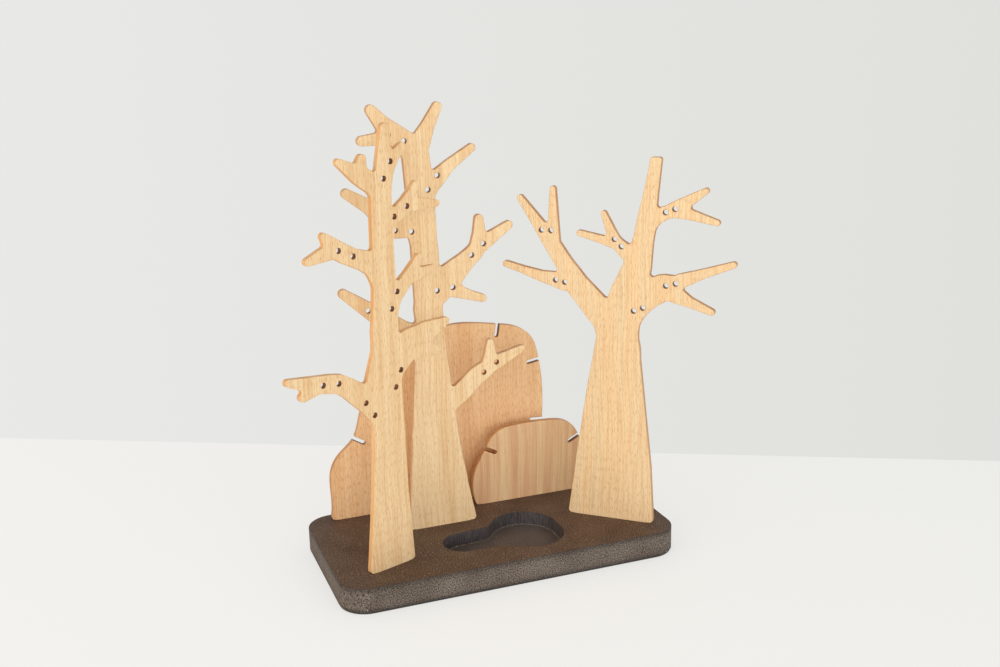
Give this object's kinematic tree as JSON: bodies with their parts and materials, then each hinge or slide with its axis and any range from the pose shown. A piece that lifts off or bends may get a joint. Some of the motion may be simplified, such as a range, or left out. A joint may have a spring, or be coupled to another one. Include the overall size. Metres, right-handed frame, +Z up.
{
  "type": "jewelry holder",
  "caption": "Dark rounded base board with a milled ring tray and upright flat wooden cut-outs of branching trees and slotted bushes for hanging jewelry.",
  "frame": {"origin": "middle of the base's underside, on the surface the holder stands on", "axes": "+Z up, +X along the base's long side to the right as seen from the front, +Y from the tray's side to the bushes at the back"},
  "size_m": [0.3591, 0.1741, 0.379],
  "materials": {
    "fibreboard": "matt, dyed through, fine light fibre specks",
    "felt": "matt black felt",
    "beech": "satin beech with short dark flecks along the height"
  },
  "bodies": {
    "base": {"base": "fibreboard", "felt": "felt"},
    "front_tree": {"front_tree": "beech"},
    "middle_tree": {"middle_tree": "beech"},
    "right_tree": {"right_tree": "beech"},
    "large_bush": {"large_bush": "beech"},
    "small_bush": {"small_bush": "beech"}
  },
  "joints": [
    {"name": "front_tree_lift", "type": "slide", "parent": "base", "child": "front_tree", "axis": [0, 0, 1], "range_m": [0, 0.03]},
    {"name": "middle_tree_lift", "type": "slide", "parent": "base", "child": "middle_tree", "axis": [0, 0, 1], "range_m": [0, 0.03]},
    {"name": "right_tree_lift", "type": "slide", "parent": "base", "child": "right_tree", "axis": [0, 0, 1], "range_m": [0, 0.03]},
    {"name": "large_bush_lift", "type": "slide", "parent": "base", "child": "large_bush", "axis": [0, 0, 1], "range_m": [0, 0.03]},
    {"name": "small_bush_lift", "type": "slide", "parent": "base", "child": "small_bush", "axis": [0, 0, 1], "range_m": [0, 0.03]}
  ]
}
